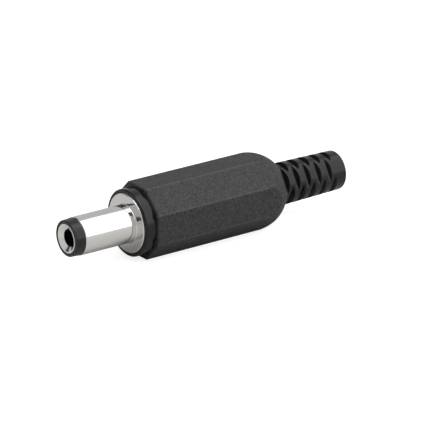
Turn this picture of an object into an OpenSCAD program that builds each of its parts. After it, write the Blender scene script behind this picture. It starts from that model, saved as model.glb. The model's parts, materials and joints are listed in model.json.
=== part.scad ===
// Coaxial DC power plug for a cable: a turned plug insert that screws into
// an octagonal handle with a slotted strain relief.
// Millimetres. +X runs along the axis towards the tip, +Z is up.
// The origin is on the axis, in the plane of the flange's front face.
// The plug lies on the lowest flat of the handle.

/* [Barrel] */
// Outer diameter of the plated barrel
barrel_d = 5.5; // [5.3:0.05:5.7]
// Wall of the barrel tube
barrel_wall = 0.3; // [0.25:0.05:0.35]
// Length of the plated barrel in front of the flange
barrel_l = 8.5; // [7:0.5:12]
// Radius of the fillet at the barrel's root
root_fillet = 0.15; // [0.1:0.05:0.3]
// Chamfer on the barrel's front edge
barrel_chamfer = 0.1; // [0.05:0.05:0.2]

/* [Flange and thread] */
// Diameter of the flange
flange_d = 8.6; // [8.2:0.1:8.8]
// Thickness of the flange
flange_t = 1.5; // [1:0.1:2]
// Chamfer on the flange's front edge
flange_chamfer = 0.15; // [0.05:0.05:0.3]
// How far the flange's face stands in front of the collar
flange_proud = 0.15; // [0:0.05:0.3]
// Outer diameter of the screw thread
thread_d = 7; // [6.8:0.1:7.2]
// Length of the screw thread
thread_l = 5; // [4:0.5:6]
// Diameter of the plain pilot behind the thread
pilot_d = 5.4; // [5.3:0.05:5.5]
// Length of the pilot
pilot_l = 1; // [0.8:0.1:1.5]
// Chamfer at the rear end of the thread
thread_chamfer = 0.25; // [0.1:0.05:0.4]
// Step from the pilot down to the neck that carries the outer tag
neck_step = 0.85; // [0.8:0.05:0.9]
// Width of the rolled rim that holds the outer tag
rim_w = 0.25; // [0.2:0.05:0.4]
// Thickness of the rolled rim
rim_t = 0.25; // [0.2:0.05:0.3]

/* [Centre contact] */
// Bore that takes the jack's pin
pin_d = 2.5; // [2.4:0.05:2.6]
// Depth of the bore from the tip
pin_depth = 11; // [10:0.5:11.5]
// Wall of the contact tube
contact_wall = 0.4; // [0.35:0.05:0.45]
// Diameter of the contact's head in the tip
head_d = 4.16; // [4:0.02:4.3]
// Length of the head
head_l = 0.9; // [0.8:0.1:1.1]
// Width of the flat rim round the lead-in cone
mouth_rim = 0.18; // [0.1:0.02:0.24]
// Depth of the lead-in cone
mouth_l = 0.45; // [0.3:0.05:0.6]
// Diameter of the riveted shank at the rear
shank_d = 1.7; // [1.5:0.1:1.8]
// Width of the rivet's head past the shank
rivet_w = 0.35; // [0.25:0.05:0.4]
// Height of the rivet's head
rivet_t = 0.3; // [0.2:0.05:0.4]

/* [Insulators] */
// Length of the tip insulator in front of the barrel
tip_l = 1.5; // [1.3:0.1:2]
// Step from the barrel down to the tip insulator
tip_step = 0.05; // [0.02:0.01:0.1]
// How much the tip insulator tapers towards its front face
tip_taper = 0.08; // [0.05:0.01:0.15]
// Radius on the edge of the tip insulator's front face
tip_round = 0.12; // [0.05:0.01:0.15]
// Width of the rear bush's shoulder past the bore that it sits in
shoulder_w = 0.2; // [0.15:0.05:0.2]
// Thickness of the rear bush's shoulder
shoulder_t = 0.6; // [0.4:0.1:0.9]
// Wall of the barrel shell round the rear bush
rear_wall = 0.25; // [0.2:0.05:0.3]
// Wall of the insulating sleeve
liner_wall = 0.24; // [0.15:0.01:0.27]
// Length of the insulating sleeve
liner_l = 10; // [8:0.5:12]

/* [Solder tags] */
// Thickness of the tag sheet
tag_t = 0.3; // [0.25:0.05:0.35]
// Inner radius of the bends in the tags
tag_bend = 0.15; // [0.1:0.05:0.2]
// Width of the outer tag
outer_tag_w = 1.8; // [1.6:0.1:1.9]
// Length of the outer tag in front of its clamp
outer_tag_l = 5; // [4:0.5:5.5]
// Width of the outer tag's ring round the neck
outer_ring_w = 0.45; // [0.4:0.05:0.5]
// Length of the cable clamp
clamp_l = 3; // [2:0.5:4]
// Half the angle that the open clamp goes round the cable
clamp_half_angle = 110; // [90:5:130]
// Width of the centre tag
centre_tag_w = 1.6; // [1.4:0.1:1.8]
// Length of the centre tag
centre_tag_l = 4; // [3:0.5:4.5]
// Width of the centre tag's ring round the shank
centre_ring_w = 0.55; // [0.4:0.05:0.6]
// Diameter of the hole for the wire in each tag
wire_hole_d = 0.9; // [0.7:0.1:1]

/* [Handle] */
// Width across the flats of the octagonal handle
handle_af = 10.5; // [10.4:0.1:12]
// Length of the straight part of the handle, from its front face
handle_l = 19.3; // [18:0.5:26]
// Radius on the handle's long edges
edge_round = 0.35; // [0.2:0.05:0.6]
// Chamfer round the handle's front face
front_chamfer = 0.2; // [0.1:0.05:0.4]
// Wall of the round collar at the front
collar_wall = 0.47; // [0.4:0.01:0.6]
// Length of the collar
collar_l = 1.65; // [1.5:0.05:2.5]
// Radius on the collar's front edge
collar_round = 0.22; // [0.1:0.02:0.3]
// How far the handle's thread runs past the insert's
nut_spare = 0.6; // [0.4:0.1:1]
// Diameter of the cavity for the tags
cavity_d = 7.8; // [7.2:0.1:8.2]
// Free length of the cavity behind the insulating sleeve
cavity_spare = 3.5; // [2:0.5:4]
// Length of the cone from the cavity to the cable hole
cavity_cone_l = 3; // [2:0.5:4]

/* [Strain relief] */
// Length of the strain relief, measured behind the rounded shoulder
relief_l = 11; // [10.6:0.1:14]
// Diameter of the strain relief at the shoulder
relief_front_d = 6.2; // [6:0.1:6.6]
// Diameter of the strain relief at its end
relief_rear_d = 5.8; // [5.6:0.1:6]
// Radius on the rear edge
relief_round = 0.3; // [0.1:0.05:0.4]
// Diameter of the cable hole
cable_d = 3.8; // [3:0.1:4]
// Chamfer at the cable hole's mouth
cable_chamfer = 0.2; // [0.1:0.05:0.3]
// Distance from one ring of slots to the next
slot_pitch = 0.975; // [0.95:0.005:1]
// Distance from the shoulder to the first ring
slot_start = 0.05; // [0:0.05:0.1]
// Width of a slot's floor
slot_floor_w = 0.3; // [0.25:0.05:0.35]
// Wall left between a slot's floor and the cable hole
slot_wall = 0.52; // [0.4:0.02:0.6]
// Length of the plain end behind the last ring's centre
plain_end_l = 2.1; // [1.5:0.1:3]
// Angle of a slot's walls to the radius
slot_wall_angle = 32; // [25:1:33]

/* [Fits] */
// Radial gap between pieces that are pressed or riveted together
seat_gap = 0.02; // [0.01:0.01:0.03]
// Radial gap of the screw thread and of the sleeve on its pilot
running_gap = 0.05; // [0.03:0.01:0.08]
// Radial gap between the flange and its seat in the collar
flange_gap = 0.08; // [0.05:0.01:0.12]
// Gap between the sleeve's end and the thread
liner_gap = 0.1; // [0.05:0.05:0.3]
// Radial gap between the outer tag's corners and the sleeve
tag_gap = 0.12; // [0.1:0.02:0.2]

/* [Hidden] */
$fn = 64;

sides = 8;                     // flats of the handle
slots_per_ring = 3;
arc_steps = 4;                 // chords in a small rounded edge
cut = 1;                       // how far a cutter passes the face it cuts

// Stations along the axis, from the tip to the rear
tip_x = barrel_l + tip_l;
contact_seat_x = tip_x - head_l;
bore_end_x = tip_x - pin_depth;
drill_point_x = bore_end_x - pin_d / 4;
tube_end_x = drill_point_x - contact_wall;
flange_back_x = -flange_t;
thread_end_x = flange_back_x - thread_l;
pilot_end_x = thread_end_x - pilot_l;
rim_x = pilot_end_x - tag_t;
neck_end_x = rim_x - rim_t;
shoulder_end_x = neck_end_x - shoulder_t;
rivet_x = shoulder_end_x - tag_t;
liner_front_x = thread_end_x - liner_gap;
liner_rear_x = liner_front_x - liner_l;
collar_front_x = -flange_proud;
handle_front_x = collar_front_x - collar_l;
dome_x = handle_front_x - handle_l;
nut_end_x = thread_end_x - nut_spare;
cavity_end_x = liner_rear_x - cavity_spare;
cable_hole_x = cavity_end_x - cavity_cone_l;

// Radii
barrel_r = barrel_d / 2;
barrel_bore_r = barrel_r - barrel_wall;
flange_r = flange_d / 2;
thread_r = thread_d / 2;
pilot_r = pilot_d / 2;
neck_r = pilot_r - neck_step;
rear_bore_r = neck_r - rear_wall;
pin_r = pin_d / 2;
tube_r = pin_r + contact_wall;
head_r = head_d / 2;
shank_r = shank_d / 2;
liner_bore_r = pilot_r + running_gap;
tip_rear_r = barrel_r - tip_step;
tip_front_r = tip_rear_r - tip_taper;
outer_ring_r = neck_r + outer_ring_w;
centre_ring_r = shank_r + centre_ring_w;
// Inside of each tongue: the outer one's corners just clear the sleeve
outer_tag_r = sqrt(pow(liner_bore_r - tag_gap, 2) - pow(outer_tag_w / 2, 2)) - tag_t;
centre_tag_r = centre_ring_r - tag_t / 2;
corner_r = handle_af / 2 / cos(180 / sides);
collar_r = flange_r + flange_gap + collar_wall;
cable_r = cable_d / 2;
slot_floor_r = cable_r + slot_wall;
// Width of a slot across the axis: the chord of its floor at the shoulder
slot_w = 2 * sqrt(pow(relief_front_d / 2, 2) - pow(slot_floor_r, 2));

// The shoulder is part of a ball whose radius is that of the handle's corners.
// The strain relief leaves it where the ball is as thin as the relief.
shoulder_x = dome_x - sqrt(pow(corner_r, 2) - pow(relief_front_d / 2, 2));
rear_x = shoulder_x - relief_l;
slot_rings = 1 + floor((relief_l - slot_start - plain_end_l) / slot_pitch);

// Points of an arc, for the rounded edges of profiles
function arc(centre, r, from, to, n = arc_steps) =
    [for (i = [0 : n]) let (a = from + (to - from) * i / n)
        centre + r * [cos(a), sin(a)]];

// A solid turned about the X axis from points [radius, x]
module turned(points) {
    rotate([0, 90, 0])
        rotate_extrude()
            polygon(points);
}

// A round bar along the X axis
module rod(x_low, x_high, r) {
    translate([x_low, 0, 0])
        rotate([0, 90, 0])
            cylinder(h = x_high - x_low, r = r);
}

// A prism along the X axis from an outline in [y, z]
module prism(x_low, x_high) {
    translate([x_low, 0, 0])
        rotate([90, 0, 90])
            linear_extrude(height = x_high - x_low)
                children();
}

// A block across the Y axis, from its corners in [x, z]
module block(low, high, w) {
    translate([low[0], -w / 2, low[1]])
        cube([high[0] - low[0], w, high[1] - low[1]]);
}

// Outline of the octagon, with its long edges rounded
module octagon_outline() {
    round_centre_r = corner_r - edge_round / cos(180 / sides);
    polygon([for (k = [0 : sides - 1])
        let (a = (k + 0.5) * 360 / sides)
        each arc(round_centre_r * [cos(a), sin(a)], edge_round,
                 a - 180 / sides, a + 180 / sides)]);
}

// One blade that forms a slot: a wedge, narrowest at the slot's floor
module slot_blade() {
    blade_h = corner_r - slot_floor_r;
    top_w = slot_floor_w + 2 * blade_h * tan(slot_wall_angle);
    translate([0, slot_w / 2, slot_floor_r])
        rotate([90, 0, 0])
            linear_extrude(height = slot_w)
                polygon([[-slot_floor_w / 2, 0], [slot_floor_w / 2, 0],
                         [top_w / 2, blade_h], [-top_w / 2, blade_h]]);
}

// All slots: each ring is turned by half a step from the one before
module relief_slots() {
    step = 360 / slots_per_ring;
    for (ring = [0 : slot_rings - 1])
        for (k = [0 : slots_per_ring - 1])
            translate([shoulder_x - slot_start - ring * slot_pitch, 0, 0])
                rotate([(k + (ring % 2 == 0 ? 0.5 : 0)) * step, 0, 0])
                    slot_blade();
}

// Wedges that chamfer the eight edges of the handle's front face
module front_chamfers() {
    for (k = [0 : sides - 1])
        rotate([k * 360 / sides, 0, 0])
            translate([handle_front_x, handle_af / 2, handle_af / 2])
                rotate([90, 0, 0])
                    linear_extrude(height = handle_af)
                        polygon([[cut, -front_chamfer - cut],
                                 [cut, cut],
                                 [-front_chamfer - cut, cut]]);
}

// The moulded outside: collar, octagon, ball shoulder and strain relief
module handle_outside() {
    difference() {
        prism(dome_x, handle_front_x)
            octagon_outline();
        front_chamfers();
    }
    intersection() {
        prism(dome_x - corner_r, dome_x + cut)
            octagon_outline();
        translate([dome_x, 0, 0])
            sphere(r = corner_r);
    }
    turned(concat(
        [[cable_r / 2, handle_front_x - cut], [collar_r, handle_front_x - cut]],
        arc([collar_r - collar_round, collar_front_x - collar_round],
            collar_round, 0, 90),
        [[cable_r / 2, collar_front_x]]));
    turned(concat(
        [[cable_r / 2, dome_x], [relief_front_d / 2, dome_x],
         [relief_front_d / 2, shoulder_x]],
        arc([relief_rear_d / 2 - relief_round, rear_x + relief_round],
            relief_round, 0, -90),
        [[cable_r / 2, rear_x]]));
}

// The space inside the handle, from the flange's seat to the cable's mouth
module handle_inside() {
    turned([
        [0, collar_front_x + cut],
        [flange_r + flange_gap, collar_front_x + cut],
        [flange_r + flange_gap, flange_back_x],
        [thread_r + running_gap, flange_back_x],
        [thread_r + running_gap, nut_end_x],
        [cavity_d / 2, nut_end_x],
        [cavity_d / 2, cavity_end_x],
        [cable_r, cable_hole_x],
        [cable_r, rear_x + cable_chamfer],
        [cable_r + cable_chamfer + cut, rear_x - cut],
        [0, rear_x - cut]]);
}

module handle() {
    color("#2c2c2e")
        difference() {
            handle_outside();
            handle_inside();
            relief_slots();
        }
}

// Turned shell: barrel, flange, thread, pilot and the neck with its rolled rim
module barrel_contact() {
    color("#c9c8c4")
        turned(concat(
            [[barrel_bore_r, barrel_l], [barrel_r - barrel_chamfer, barrel_l],
             [barrel_r, barrel_l - barrel_chamfer]],
            arc([barrel_r + root_fillet, root_fillet], root_fillet, 180, 270),
            [[flange_r - flange_chamfer, 0], [flange_r, -flange_chamfer],
             [flange_r, flange_back_x], [thread_r, flange_back_x],
             [thread_r, thread_end_x + thread_chamfer],
             [thread_r - thread_chamfer, thread_end_x],
             [pilot_r, thread_end_x], [pilot_r, pilot_end_x],
             [neck_r, pilot_end_x], [neck_r, rim_x],
             [neck_r + rim_w, rim_x], [neck_r + rim_w, neck_end_x],
             [rear_bore_r, neck_end_x], [rear_bore_r, tube_end_x],
             [barrel_bore_r, tube_end_x]]));
}

// Moulded insulator: head in front of the barrel, liner inside it
module tip_insulator() {
    color("#262626")
        turned(concat(
            [[head_r + seat_gap, contact_seat_x], [head_r + seat_gap, tip_x]],
            arc([tip_front_r - tip_round, tip_x - tip_round],
                tip_round, 90, 0),
            [[tip_rear_r, barrel_l], [barrel_bore_r - seat_gap, barrel_l],
             [barrel_bore_r - seat_gap, tube_end_x],
             [tube_r + seat_gap, tube_end_x],
             [tube_r + seat_gap, contact_seat_x]]));
}

// Turned contact: head with its lead-in cone, tube, shank and riveted end
module centre_contact() {
    color("#d8d6d0")
        turned([
            [pin_r, tip_x - mouth_l], [head_r - mouth_rim, tip_x],
            [head_r, tip_x], [head_r, contact_seat_x],
            [tube_r, contact_seat_x], [tube_r, tube_end_x],
            [shank_r, tube_end_x], [shank_r, rivet_x],
            [shank_r + rivet_w, rivet_x],
            [shank_r + rivet_w / 2, rivet_x - rivet_t],
            [0, rivet_x - rivet_t],
            [0, drill_point_x], [pin_r, bore_end_x]]);
}

// Shouldered bush that keeps the rivet and its tag off the shell
module rear_insulator() {
    color("#3a3a3a")
        turned([
            [shank_r + seat_gap, tube_end_x], [rear_bore_r - seat_gap, tube_end_x],
            [rear_bore_r - seat_gap, neck_end_x],
            [rear_bore_r + shoulder_w, neck_end_x],
            [rear_bore_r + shoulder_w, shoulder_end_x],
            [shank_r + seat_gap, shoulder_end_x]]);
}

// A sheet ring on the axis with a tongue bent to the rear above it.
// front_x is the ring's front face, tongue_r the radius of the tongue's inside.
module ring_tag(front_x, hole_r, ring_r, tongue_r, w, l) {
    bend_x = front_x - tag_t - tag_bend;
    bend_z = tongue_r - tag_bend;
    difference() {
        union() {
            intersection() {
                rod(front_x - tag_t, front_x, ring_r);
                block([front_x - tag_t - cut, -2 * ring_r],
                      [front_x + cut, bend_z], 4 * ring_r);
            }
            block([front_x - tag_t, 0], [front_x, bend_z], w);
        }
        rod(front_x - tag_t - cut, front_x + cut, hole_r);
    }
    intersection() {
        translate([bend_x, w / 2, bend_z])
            rotate([90, 0, 0])
                difference() {
                    cylinder(h = w, r = tag_bend + tag_t);
                    translate([0, 0, -cut])
                        cylinder(h = w + 2 * cut, r = tag_bend);
                }
        block([bend_x, bend_z], [front_x + cut, tongue_r + tag_t + cut], w);
    }
    difference() {
        block([bend_x - l, tongue_r], [bend_x, tongue_r + tag_t], w);
        translate([bend_x - l + 1.5 * wire_hole_d, 0, tongue_r - cut])
            cylinder(h = tag_t + 2 * cut, r = wire_hole_d / 2);
    }
}

// Outer tag on the neck, with the open clamp that is closed on the cable
module outer_tag() {
    clamp_x = pilot_end_x - tag_t - tag_bend - outer_tag_l;
    color("#cfcabd") {
        ring_tag(pilot_end_x, neck_r + seat_gap, outer_ring_r,
                 outer_tag_r, outer_tag_w, outer_tag_l);
        translate([clamp_x - clamp_l, 0, 0])
            rotate([0, 90, 0])
                rotate([0, 0, 180 - clamp_half_angle])
                    rotate_extrude(angle = 2 * clamp_half_angle)
                        translate([outer_tag_r, 0])
                            square([tag_t, clamp_l]);
    }
}

// Centre tag under the rivet's head
module centre_tag() {
    color("#cfcabd")
        rotate([180, 0, 0])
            ring_tag(shoulder_end_x, shank_r + seat_gap, centre_ring_r,
                     centre_tag_r, centre_tag_w, centre_tag_l);
}

// Thin clear tube over the tags, slipped onto the pilot
module insulating_sleeve() {
    color("#dfe6e8", 0.5)
        difference() {
            rod(liner_rear_x, liner_front_x, liner_bore_r + liner_wall);
            rod(liner_rear_x - cut, liner_front_x + cut, liner_bore_r);
        }
}

handle();
barrel_contact();
tip_insulator();
centre_contact();
rear_insulator();
outer_tag();
centre_tag();
insulating_sleeve();
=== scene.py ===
"""Looks of a coaxial DC power plug for a cable.

A nickel-plated insert screws into a black octagonal handle with a slotted strain relief.
All lengths are in metres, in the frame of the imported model: +X towards the tip, +Z up.
"""

import json
from math import cos, pi, radians, sin

import bmesh
import bpy
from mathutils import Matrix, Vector


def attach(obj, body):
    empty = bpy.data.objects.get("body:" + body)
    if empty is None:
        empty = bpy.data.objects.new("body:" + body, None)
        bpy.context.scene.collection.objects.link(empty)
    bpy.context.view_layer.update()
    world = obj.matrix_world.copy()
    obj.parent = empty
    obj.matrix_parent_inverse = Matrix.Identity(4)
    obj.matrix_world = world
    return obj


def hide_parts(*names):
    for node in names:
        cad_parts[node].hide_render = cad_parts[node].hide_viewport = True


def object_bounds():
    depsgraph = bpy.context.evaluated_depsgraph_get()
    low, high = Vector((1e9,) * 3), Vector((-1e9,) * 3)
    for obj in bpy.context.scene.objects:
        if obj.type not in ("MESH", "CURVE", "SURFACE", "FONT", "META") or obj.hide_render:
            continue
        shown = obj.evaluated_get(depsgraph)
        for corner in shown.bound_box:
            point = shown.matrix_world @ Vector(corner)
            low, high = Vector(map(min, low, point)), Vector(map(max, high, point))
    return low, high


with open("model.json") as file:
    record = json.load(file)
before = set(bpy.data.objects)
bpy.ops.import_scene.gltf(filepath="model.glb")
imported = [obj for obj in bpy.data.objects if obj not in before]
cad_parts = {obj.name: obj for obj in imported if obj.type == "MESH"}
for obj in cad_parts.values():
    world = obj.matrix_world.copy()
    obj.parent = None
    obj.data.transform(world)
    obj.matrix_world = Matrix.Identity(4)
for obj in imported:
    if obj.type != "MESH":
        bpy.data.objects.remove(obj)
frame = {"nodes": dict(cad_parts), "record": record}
cad_low, cad_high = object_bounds()

MM = 0.001

# ---------------------------------------------------------------- sizes
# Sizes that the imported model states
mounts = {m["name"]: m for m in frame["record"]["mounts"]}
BARREL_R = mounts["barrel"]["dims"]["r_mm"] * MM
BARREL_L = mounts["barrel"]["dims"]["length_mm"] * MM
OCTAGON_X = -1.8 * MM     # the octagon's front face, behind the round collar
SHOULDER_X = -21.1 * MM   # where the octagon runs into its ball-shaped shoulder
RELIEF_X = -25.86 * MM    # where the strain relief leaves the rounded shoulder

floor_z = cad_low.z
middle = (cad_low + cad_high) / 2


# ---------------------------------------------------------------- helpers
def clear_selection():
    """Leaves nothing selected, so that an operator touches only what it is given."""
    if bpy.context.object and bpy.context.object.mode != "OBJECT":
        bpy.ops.object.mode_set(mode="OBJECT")
    bpy.ops.object.select_all(action="DESELECT")


def edit_all(obj):
    """Opens obj in edit mode with everything in it selected."""
    clear_selection()
    bpy.context.view_layer.objects.active = obj
    obj.select_set(True)
    bpy.ops.object.mode_set(mode="EDIT")
    bpy.ops.mesh.select_mode(type="VERT")
    bpy.ops.mesh.select_all(action="SELECT")


def pick(obj, chosen):
    """Selects, in edit mode, the vertices whose numbers are chosen."""
    bpy.ops.mesh.select_all(action="DESELECT")
    shape = bmesh.from_edit_mesh(obj.data)
    shape.verts.ensure_lookup_table()
    for number in chosen:
        shape.verts[number].select = True
    shape.select_flush_mode()
    bmesh.update_edit_mesh(obj.data)


def finish_shell(angle=30):
    """Closes the edited piece: doubles merged, faces outwards, round stretches smooth."""
    bpy.ops.mesh.select_all(action="SELECT")
    bpy.ops.mesh.remove_doubles(threshold=0.0005 * MM)
    bpy.ops.mesh.normals_make_consistent(inside=False)
    bpy.ops.object.mode_set(mode="OBJECT")
    bpy.ops.object.shade_smooth_by_angle(angle=radians(angle))


def turned_ring(name, stations, facets):
    """A closed turned shell about the X axis, drawn out from a circle through stations of (x, radius)."""
    x, r = stations[0]
    clear_selection()
    bpy.ops.mesh.primitive_circle_add(
        vertices=facets, radius=r, location=(x, 0, 0), rotation=(0, pi / 2, 0))
    ring = bpy.context.object
    ring.name = name
    bpy.ops.object.transform_apply(location=True, rotation=True)
    edit_all(ring)
    for next_x, next_r in stations[1:] + stations[:1]:
        bpy.ops.mesh.extrude_region_move(TRANSFORM_OT_translate={"value": (next_x - x, 0, 0)})
        bpy.ops.transform.resize(value=(1, next_r / r, next_r / r), center_override=(next_x, 0, 0))
        x, r = next_x, next_r
    finish_shell()
    return ring


def arc(centre, radius, start, end, steps=6):
    """Points (x, radius) on an arc, by angles in degrees from the X axis."""
    angles = [radians(start + (end - start) * i / steps) for i in range(steps + 1)]
    return [(centre[0] + radius * cos(t), centre[1] + radius * sin(t)) for t in angles]


# ---------------------------------------------------------------- materials
class Finish:
    """A node material, with short ways to add and join its nodes."""

    def __init__(self, name):
        self.material = bpy.data.materials.new(name)
        self.material.use_nodes = True
        self.nodes = self.material.node_tree.nodes
        self.links = self.material.node_tree.links
        self.shader = self.nodes["Principled BSDF"]
        self.place = self.nodes.new("ShaderNodeTexCoord").outputs["Object"]

    def set(self, **values):
        for socket, value in values.items():
            self.shader.inputs[socket.replace("_", " ")].default_value = value

    def join(self, source, target):
        self.links.new(source, target)

    def feed(self, value, target):
        """Joins a socket to target, or sets target to a plain value."""
        if isinstance(value, bpy.types.NodeSocket):
            self.join(value, target)
        else:
            target.default_value = value

    def noise(self, per_metre, detail=4.0, roughness=0.6, place=None):
        """Noise on the object's coordinates, or on those in place."""
        node = self.nodes.new("ShaderNodeTexNoise")
        node.inputs["Scale"].default_value = per_metre
        node.inputs["Detail"].default_value = detail
        node.inputs["Roughness"].default_value = roughness
        self.join(self.place if place is None else place, node.inputs["Vector"])
        return node.outputs["Fac"]

    def compute(self, operation, *values):
        """A Math node on sockets and plain numbers."""
        node = self.nodes.new("ShaderNodeMath")
        node.operation = operation
        for value, target in zip(values, node.inputs):
            self.feed(value, target)
        return node.outputs[0]

    def mix(self, kind, factor, first, second):
        """first where factor is 0 and second where it is 1, of the kind FLOAT or RGBA."""
        node = self.nodes.new("ShaderNodeMix")
        node.data_type = kind
        for value, target in zip((factor, first, second), ("Factor", "A", "B")):
            self.feed(value, node.inputs[target])
        return node.outputs["Result"]

    def spread(self, source, low, high, out_low, out_high):
        """Turns source between low and high into out_low to out_high."""
        node = self.nodes.new("ShaderNodeMapRange")
        limits = {"From Min": low, "From Max": high, "To Min": out_low, "To Max": out_high}
        for socket, value in limits.items():
            node.inputs[socket].default_value = value
        self.join(source, node.inputs["Value"])
        return node.outputs["Result"]

    def shade(self, source, *stops):
        """A colour ramp of (position, colour) stops."""
        node = self.nodes.new("ShaderNodeValToRGB")
        ramp = node.color_ramp
        while len(ramp.elements) < len(stops):
            ramp.elements.new(1)
        for element, (position, colour) in zip(ramp.elements, stops):
            element.position = position
            element.color = (*colour, 1)
        self.join(source, node.inputs["Fac"])
        return node.outputs["Color"]

    def relief(self, source, depth, below=None):
        """A bump of the given depth, on top of the one in below."""
        node = self.nodes.new("ShaderNodeBump")
        node.inputs["Distance"].default_value = depth
        self.join(source, node.inputs["Height"])
        if below is not None:
            self.join(below, node.inputs["Normal"])
        return node.outputs["Normal"]

    def softened_edges(self, radius):
        """Normals that round every edge by radius."""
        node = self.nodes.new("ShaderNodeBevel")
        node.samples = 6
        node.inputs["Radius"].default_value = radius
        return node.outputs["Normal"]


def grey(value, warm=0.0):
    """A grey of the given value, reddened and yellowed a little by warm."""
    return (value * (1 + warm), value, value * (1 - warm))


def moulded_plastic(name, colour, roughness, grain_depth, edge_radius=0.05 * MM, grain_size=0.16 * MM):
    """Moulded plastic: a fine spark-eroded grain, slight cloudiness and softened edges."""
    f = Finish(name)
    f.set(IOR=1.46, Specular_IOR_Level=0.40)
    grain = f.noise(1 / grain_size, 3, 0.7)
    clouds = f.noise(500, 6, 0.75)
    low, high = colour
    f.join(f.shade(clouds, (0.35, low), (0.65, high)), f.shader.inputs["Base Color"])
    f.join(f.spread(grain, 0.3, 0.7, *roughness), f.shader.inputs["Roughness"])
    f.join(f.relief(grain, grain_depth, f.softened_edges(edge_radius)), f.shader.inputs["Normal"])
    return f.material


def handle_plastic(name):
    """The handle's plastic: grained on the octagon, smoother and darker on the collar and the relief."""
    f = Finish(name)
    f.set(IOR=1.46, Specular_IOR_Level=0.40)
    place = f.nodes.new("ShaderNodeSeparateXYZ")
    f.join(f.place, place.inputs["Vector"])
    x, y, z = (place.outputs[axis] for axis in "XYZ")
    # 1 on the grained octagon, 0 on the collar in front of it and on the relief behind it
    grained = f.compute(
        "MULTIPLY",
        f.spread(x, RELIEF_X - 0.3 * MM, RELIEF_X + 0.5 * MM, 0, 1),
        f.spread(x, OCTAGON_X - 0.05 * MM, OCTAGON_X + 0.05 * MM, 1, 0))
    grain = f.noise(4400, 6, 0.85)
    speckle = f.noise(2900, 9, 0.85)
    colour = f.mix(
        "RGBA", grained,
        f.shade(speckle, (0.35, grey(0.004)), (0.65, grey(0.008))),
        f.shade(speckle, (0.41, grey(0.007)), (0.59, grey(0.049))))
    # painted highlight: the octagon's long edges get a lighter grey painted along them as an edge highlight,
    # broken up by the speckle
    half_flat = pi / 8
    turn = f.compute("ARCTAN2", z, y)
    from_corner = f.compute("PINGPONG", f.compute("ADD", turn, half_flat), half_flat)
    edge_highlight_band = f.compute(
        "MULTIPLY",
        f.spread(from_corner, 0.004, 0.030, 1, 0),
        f.spread(x, SHOULDER_X - 0.5 * MM, SHOULDER_X + 0.5 * MM, 0, 1))
    painted_edge_highlight = f.compute(
        "MULTIPLY", f.compute("MULTIPLY", edge_highlight_band, grained), f.spread(speckle, 0.35, 0.6, 0.15, 0.8))
    # mixes the painted edge highlight's lighter grey into the handle's colour
    f.join(f.mix("RGBA", painted_edge_highlight, colour, (*grey(0.085), 1)), f.shader.inputs["Base Color"])
    smooth_shine = f.spread(grain, 0.3, 0.7, 0.15, 0.24)
    grained_shine = f.spread(grain, 0.3, 0.7, 0.45, 0.70)
    f.join(f.mix("FLOAT", grained, smooth_shine, grained_shine), f.shader.inputs["Roughness"])
    height = f.compute("MULTIPLY", grain, f.spread(grained, 0, 1, 0.12, 1))
    f.join(f.relief(height, 0.055 * MM, f.softened_edges(0.06 * MM)), f.shader.inputs["Normal"])
    return f.material


def nickel_plate(name, tint, roughness, edge_radius=0.03 * MM):
    """Bright nickel plate over turned brass: the finest turning lines and a faint bloom."""
    f = Finish(name)
    f.set(Metallic=1.0)
    bloom = f.noise(700, 4)
    dull, bright = grey(tint * 0.96, 0.02), grey(tint, 0.015)
    f.join(f.shade(bloom, (0.3, dull), (0.7, bright)), f.shader.inputs["Base Color"])
    # turning marks run round the axis, so their noise is squeezed along it
    squeeze = f.nodes.new("ShaderNodeMapping")
    squeeze.inputs["Scale"].default_value = (1, 0.02, 0.02)
    f.join(f.place, squeeze.inputs["Vector"])
    marks = f.noise(9000, 3, 0.5, squeeze.outputs["Vector"])
    f.join(f.spread(marks, 0.3, 0.7, *roughness), f.shader.inputs["Roughness"])
    f.join(f.relief(marks, 0.0004 * MM, f.softened_edges(edge_radius)), f.shader.inputs["Normal"])
    return f.material


def clear_film(name):
    """Thin clear tube, a little cloudy."""
    f = Finish(name)
    f.set(IOR=1.45, Transmission_Weight=0.9, Alpha=0.55)
    haze = f.noise(600, 4)
    f.join(f.shade(haze, (0.3, (0.80, 0.84, 0.86)), (0.7, (0.88, 0.91, 0.92))), f.shader.inputs["Base Color"])
    f.join(f.spread(haze, 0.3, 0.7, 0.12, 0.25), f.shader.inputs["Roughness"])
    return f.material


handle_black = handle_plastic("handle black")
insulator_black = moulded_plastic(
    "insulator black", (grey(0.008), grey(0.014)), (0.16, 0.26), 0.0010 * MM)
bush_grey = moulded_plastic("bush grey", (grey(0.045), grey(0.055)), (0.35, 0.5), 0.0010 * MM)
shell_nickel = nickel_plate("shell nickel", 0.77, (0.07, 0.13))
contact_nickel = nickel_plate("contact nickel", 0.84, (0.10, 0.18))
tag_tin = nickel_plate("tag tin", 0.72, (0.25, 0.40))
clear_tube = clear_film("clear tube")


# ---------------------------------------------------------------- pieces
finishes = {
    "handle": handle_black,
    "barrel_contact": shell_nickel,
    "tip_insulator": insulator_black,
    "centre_contact": contact_nickel,
    "rear_insulator": bush_grey,
    "outer_tag": tag_tin,
    "centre_tag": tag_tin,
    "insulating_sleeve": clear_tube,
}
for node, finish in finishes.items():
    for slot in frame["nodes"][node].material_slots:
        slot.material = finish

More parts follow.
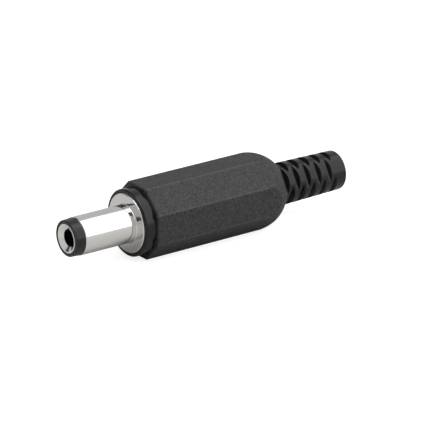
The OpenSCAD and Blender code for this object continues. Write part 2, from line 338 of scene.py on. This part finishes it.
# The plated shell, with the screw thread that the solids leave plain
FLANGE_R, FLANGE_T, FLANGE_BEVEL = 4.3 * MM, 1.5 * MM, 0.15 * MM
BARREL_BORE_R, BARREL_BEVEL, ROOT_FILLET = BARREL_R - 0.3 * MM, 0.1 * MM, 0.15 * MM
THREAD_R, THREAD_PITCH, THREAD_DEPTH = 3.5 * MM, 0.75 * MM, 0.44 * MM
THREAD_END_X, PILOT_END_X = -6.5 * MM, -7.5 * MM
THREAD_CHAMFER, THREAD_CHAMFER_DEPTH, PILOT_BEVEL = 0.25 * MM, 0.2 * MM, 0.08 * MM
PILOT_R, NECK_R, RIM_R, REAR_BORE_R = 2.7 * MM, 1.85 * MM, 2.1 * MM, 1.6 * MM
RIM_X, NECK_END_X, TUBE_END_X = -7.8 * MM, -8.05 * MM, -2.025 * MM
THREAD_ROOT_R = THREAD_R - THREAD_DEPTH
SHELL_FACETS = 96
THREAD_TURNS = 6


def thread_ridge(turns, steps=72, run_out=24):
    """The right-hand ridge: a trapezoid swept round the axis by Screw, its ends run out to the root."""
    half_foot, half_crest = 0.47 * THREAD_PITCH, 0.07 * THREAD_PITCH
    sunk_r = THREAD_ROOT_R - 0.03 * MM
    middle_x = THREAD_END_X + half_foot + 0.05 * MM
    middle_r = (THREAD_R + sunk_r) / 2
    clear_selection()
    bpy.ops.mesh.primitive_plane_add(size=1, location=(0, 0, 0), rotation=(pi / 2, 0, 0))
    ridge = bpy.context.object
    ridge.scale = (2 * half_foot, THREAD_R - sunk_r, 1)
    ridge.location = (middle_x, 0, middle_r)
    bpy.ops.object.transform_apply(location=True, rotation=True, scale=True)
    edit_all(ridge)
    top = [v.index for v in ridge.data.vertices if v.co.z > middle_r]
    pick(ridge, top)
    bpy.ops.transform.resize(
        value=(half_crest / half_foot, 1, 1), center_override=(middle_x, 0, THREAD_R))
    bpy.ops.mesh.select_all(action="SELECT")
    bpy.ops.mesh.delete(type="ONLY_FACE")
    bpy.ops.object.mode_set(mode="OBJECT")
    sweep = ridge.modifiers.new("sweep", "SCREW")
    sweep.axis, sweep.angle, sweep.screw_offset = "X", 2 * pi, THREAD_PITCH
    sweep.iterations, sweep.steps, sweep.render_steps = turns, steps, steps
    bpy.ops.object.modifier_apply(modifier="sweep")
    corners = 4
    sections = len(ridge.data.vertices) // corners
    edit_all(ridge)
    for i in range(run_out):
        lowered = (sunk_r + (THREAD_R - sunk_r) * i / run_out) / THREAD_R
        for section in (i, sections - 1 - i):
            crest = [corners * section + corner for corner in top]
            x = ridge.data.vertices[crest[0]].co.x
            pick(ridge, crest)
            bpy.ops.transform.resize(value=(1, lowered, lowered), center_override=(x, 0, 0))
    bpy.ops.mesh.select_all(action="SELECT")
    bpy.ops.mesh.fill_holes(sides=0)
    finish_shell(25)
    return ridge


outer_barrel = [
    (BARREL_L, BARREL_BORE_R),
    (BARREL_L, BARREL_R - BARREL_BEVEL),
    (BARREL_L - BARREL_BEVEL, BARREL_R),
]
flange = arc((ROOT_FILLET, BARREL_R + ROOT_FILLET), ROOT_FILLET, 270, 180)
flange += arc((-FLANGE_BEVEL, FLANGE_R - FLANGE_BEVEL), FLANGE_BEVEL, 0, 90, 4)
flange += [(-FLANGE_T, FLANGE_R)]
shank = [
    (-FLANGE_T, THREAD_ROOT_R),
    (THREAD_END_X + THREAD_CHAMFER, THREAD_ROOT_R),
    (THREAD_END_X, THREAD_ROOT_R - THREAD_CHAMFER_DEPTH),
    (THREAD_END_X, PILOT_R),
    (PILOT_END_X + PILOT_BEVEL, PILOT_R),
    (PILOT_END_X, PILOT_R - PILOT_BEVEL),
]
rear_neck = [(PILOT_END_X, NECK_R), (RIM_X, NECK_R), (RIM_X, RIM_R), (NECK_END_X, RIM_R)]
inside = [(NECK_END_X, REAR_BORE_R), (TUBE_END_X, REAR_BORE_R), (TUBE_END_X, BARREL_BORE_R)]
shell = turned_ring("plated_shell", outer_barrel + flange + shank + rear_neck + inside, SHELL_FACETS)
ridge = thread_ridge(THREAD_TURNS)
clear_selection()
ridge.select_set(True)
shell.select_set(True)
bpy.context.view_layer.objects.active = shell
bpy.ops.object.join()
shell.data.materials.clear()
shell.data.materials.append(shell_nickel)
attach(shell, "plug_insert")
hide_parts("barrel_contact")

# ---------------------------------------------------------------- floor, lights, camera
FLOOR_GLOW_SEEN = 0.80
FLOOR_GLOW_MIRRORED = 0.02


def direction(azimuth, elevation):
    """The unit vector from the plug towards an azimuth and an elevation, in degrees."""
    a, e = radians(azimuth), radians(elevation)
    return Vector((sin(a) * cos(e), -cos(a) * cos(e), sin(e)))


def hang(name, data, place, back):
    """Puts a lamp or a camera at a place, looking against the direction back."""
    holder = bpy.data.objects.new(name, data)
    holder.location = place
    holder.rotation_mode = "QUATERNION"
    holder.rotation_quaternion = (-back).to_track_quat("-Z", "Y")
    bpy.context.collection.objects.link(holder)
    return holder


def dark_card(name, towards, distance, width, height):
    """A black card in a direction (azimuth, elevation), for the plating to mirror as dark lines."""
    back = direction(*towards)
    clear_selection()
    bpy.ops.mesh.primitive_plane_add(
        size=1,
        location=middle + back * distance,
        rotation=(-back).to_track_quat("-Z", "Y").to_euler())
    card = bpy.context.object
    card.name = name
    card.scale = (width, height, 1)
    bpy.ops.object.transform_apply(location=True, rotation=True, scale=True)
    f = Finish(name)
    f.set(Base_Color=(0.04, 0.04, 0.04, 1), Roughness=0.8)
    card.data.materials.append(f.material)
    card.visible_camera = False


def stage_floor():
    """A plain pale floor, near white to the camera and much darker to what mirrors it."""
    clear_selection()
    bpy.ops.mesh.primitive_plane_add(size=2.4, location=(middle.x, 0, floor_z))
    floor = bpy.context.object
    floor.name = "floor"
    bpy.ops.object.transform_apply(location=True)
    f = Finish("floor white")
    f.set(Base_Color=(0.54, 0.535, 0.525, 1), Roughness=0.9)
    ray = f.nodes.new("ShaderNodeLightPath")
    seen = f.compute("MULTIPLY", ray.outputs["Is Camera Ray"], FLOOR_GLOW_SEEN)
    glow = f.nodes.new("ShaderNodeEmission")
    f.join(
        f.compute("MULTIPLY_ADD", ray.outputs["Is Glossy Ray"], FLOOR_GLOW_MIRRORED, seen),
        glow.inputs["Strength"])
    both = f.nodes.new("ShaderNodeAddShader")
    f.join(f.shader.outputs["BSDF"], both.inputs[0])
    f.join(glow.outputs["Emission"], both.inputs[1])
    f.join(both.outputs["Shader"], f.nodes["Material Output"].inputs["Surface"])
    floor.data.materials.append(f.material)


def backdrop_light(strength):
    """The world: even white light from all round."""
    world = bpy.data.worlds.new("studio")
    bpy.context.scene.world = world
    world.use_nodes = True
    light = world.node_tree.nodes["Background"]
    light.inputs["Color"].default_value = (1, 1, 1, 1)
    light.inputs["Strength"].default_value = strength


def soft_box(name, towards, distance, width, height, power):
    """An area lamp that faces the plug from the direction (azimuth, elevation)."""
    back = direction(*towards)
    lamp = bpy.data.lights.new(name, "AREA")
    lamp.shape = "RECTANGLE"
    lamp.size, lamp.size_y, lamp.energy = width, height, power
    hang(name, lamp, middle + back * distance, back)


def set_camera(azimuth, elevation, distance, lens, aside, above):
    """A level camera aimed at the plug's axis, off its middle by aside and above."""
    back = direction(azimuth, elevation)
    right = Vector((cos(radians(azimuth)), sin(radians(azimuth)), 0))
    aim = Vector((middle.x, 0, 0)) + right * aside + back.cross(right) * above
    data = bpy.data.cameras.new("camera")
    data.sensor_width, data.lens = 36, lens
    data.clip_start, data.clip_end = 0.01, 10
    bpy.context.scene.camera = hang("camera", data, aim + back * distance, back)


stage_floor()
backdrop_light(0.58)
soft_box("side light", (227, 42), distance=0.50, width=0.86, height=0.80, power=2.5)
soft_box("top light", (150, 78), distance=0.60, width=0.60, height=0.45, power=1.75)
dark_card("upper_card", (35, 15), distance=0.48, width=0.20, height=0.60)
dark_card("front_card", (134, 42), distance=0.48, width=0.20, height=0.56)
set_camera(
    azimuth=143.726, elevation=20.926, distance=507.5 * MM, lens=291.3,
    aside=2.552 * MM, above=-2.650 * MM)
bpy.context.scene.view_settings.view_transform = "Standard"
